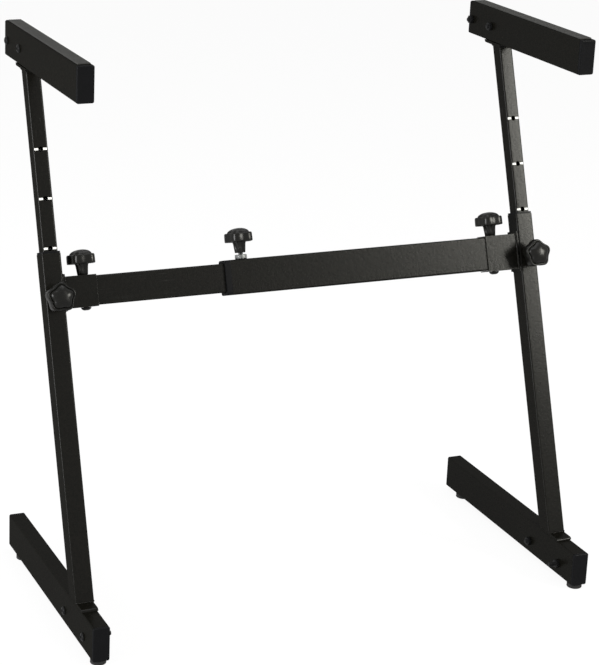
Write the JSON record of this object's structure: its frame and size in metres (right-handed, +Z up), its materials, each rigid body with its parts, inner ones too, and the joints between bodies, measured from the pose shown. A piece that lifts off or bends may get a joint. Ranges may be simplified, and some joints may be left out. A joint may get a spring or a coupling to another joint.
{
  "type": "folding keyboard stand",
  "caption": "Folding keyboard stand: tilted telescoping side frames with padded arms on a telescoping crossbar, set by star knobs.",
  "frame": {"origin": "on the floor, in the middle of the stand as seen from above", "axes": "+X to the right for someone in front of the stand, +Y to the rear, +Z up"},
  "size_m": [0.9118, 0.4904, 0.935],
  "materials": {
    "powder_coat": "satin black powder coat",
    "cap_plastic": "fine grained black plastic",
    "knob_plastic": "smooth black plastic",
    "glide_rubber": "matt black rubber",
    "pad_rubber": "finely ribbed dark grey rubber",
    "zinc_steel": "bright zinc",
    "black_bolt": "blackened steel"
  },
  "bodies": {
    "left_base": {"left_foot_tube": "powder_coat", "left_foot_cap_front": "cap_plastic", "left_foot_cap_rear": "cap_plastic", "left_foot_glide_front": "glide_rubber", "left_foot_glide_rear": "glide_rubber", "left_foot_shoe": "powder_coat", "left_foot_bolt_front": "black_bolt", "left_foot_bolt_rear": "black_bolt", "left_lower_upright": "powder_coat", "left_upright_bushing": "cap_plastic", "left_fold_bracket": "powder_coat", "left_pivot_bolt": "black_bolt", "left_height_nut": "powder_coat"},
    "left_mast": {"left_upper_upright": "powder_coat", "left_arm_shoe": "powder_coat", "left_arm_tube": "powder_coat", "left_arm_cap_front": "cap_plastic", "left_arm_cap_rear": "cap_plastic", "left_arm_pad": "pad_rubber", "left_arm_bolt_front": "black_bolt", "left_arm_bolt_rear": "black_bolt"},
    "left_height_clamp": {"left_height_knob": "knob_plastic", "left_height_stud": "zinc_steel"},
    "left_fold_clamp": {"left_fold_knob": "knob_plastic"},
    "inner_bar": {"crossbar_inner": "powder_coat", "crossbar_inner_plug": "cap_plastic"},
    "outer_bar": {"crossbar_outer": "powder_coat", "crossbar_outer_plug": "cap_plastic", "crossbar_bushing": "cap_plastic", "width_nut": "zinc_steel"},
    "width_clamp": {"width_knob": "knob_plastic", "width_stud": "zinc_steel"},
    "right_base": {"right_foot_tube": "powder_coat", "right_foot_cap_front": "cap_plastic", "right_foot_cap_rear": "cap_plastic", "right_foot_glide_front": "glide_rubber", "right_foot_glide_rear": "glide_rubber", "right_foot_shoe": "powder_coat", "right_foot_bolt_front": "black_bolt", "right_foot_bolt_rear": "black_bolt", "right_lower_upright": "powder_coat", "right_upright_bushing": "cap_plastic", "right_fold_bracket": "powder_coat", "right_pivot_bolt": "black_bolt", "right_height_nut": "powder_coat"},
    "right_mast": {"right_upper_upright": "powder_coat", "right_arm_shoe": "powder_coat", "right_arm_tube": "powder_coat", "right_arm_cap_front": "cap_plastic", "right_arm_cap_rear": "cap_plastic", "right_arm_pad": "pad_rubber", "right_arm_bolt_front": "black_bolt", "right_arm_bolt_rear": "black_bolt"},
    "right_height_clamp": {"right_height_knob": "knob_plastic", "right_height_stud": "zinc_steel"},
    "right_fold_clamp": {"right_fold_knob": "knob_plastic"}
  },
  "joints": [
    {"name": "left_fold", "type": "hinge", "parent": "left_base", "child": "inner_bar", "pos_m": [-0.3775, 0.02134, 0.529], "axis": [0, 0.342, 0.9397], "range_deg": [0, 90]},
    {"name": "width", "type": "slide", "parent": "inner_bar", "child": "outer_bar", "axis": [1, 0, 0], "range_m": [-0.205, 0.06]},
    {"name": "right_fold", "type": "hinge", "parent": "outer_bar", "child": "right_base", "pos_m": [0.37, 0.02134, 0.529], "axis": [0, 0.342, 0.9397], "range_deg": [0, 90]},
    {"name": "left_height", "type": "slide", "parent": "left_base", "child": "left_mast", "axis": [0, 0.342, 0.9397], "range_m": [-0.24, 0.08]},
    {"name": "right_height", "type": "slide", "parent": "right_base", "child": "right_mast", "axis": [0, 0.342, 0.9397], "range_m": [-0.24, 0.08]},
    {"name": "left_height_knob_turn", "type": "hinge", "parent": "left_base", "child": "left_height_clamp", "pos_m": [-0.432, 0.01881, 0.52205], "axis": [0, -0.9397, 0.342], "continuous": true},
    {"name": "right_height_knob_turn", "type": "hinge", "parent": "right_base", "child": "right_height_clamp", "pos_m": [0.432, 0.01881, 0.52205], "axis": [0, -0.9397, 0.342], "continuous": true},
    {"name": "left_fold_knob_turn", "type": "hinge", "parent": "left_base", "child": "left_fold_clamp", "pos_m": [-0.3775, 0.02134, 0.529], "axis": [0, 0.342, 0.9397], "continuous": true},
    {"name": "right_fold_knob_turn", "type": "hinge", "parent": "right_base", "child": "right_fold_clamp", "pos_m": [0.37, 0.02134, 0.529], "axis": [0, 0.342, 0.9397], "continuous": true},
    {"name": "width_knob_turn", "type": "hinge", "parent": "outer_bar", "child": "width_clamp", "pos_m": [-0.101, 0.02134, 0.529], "axis": [0, 0.342, 0.9397], "continuous": true}
  ]
}
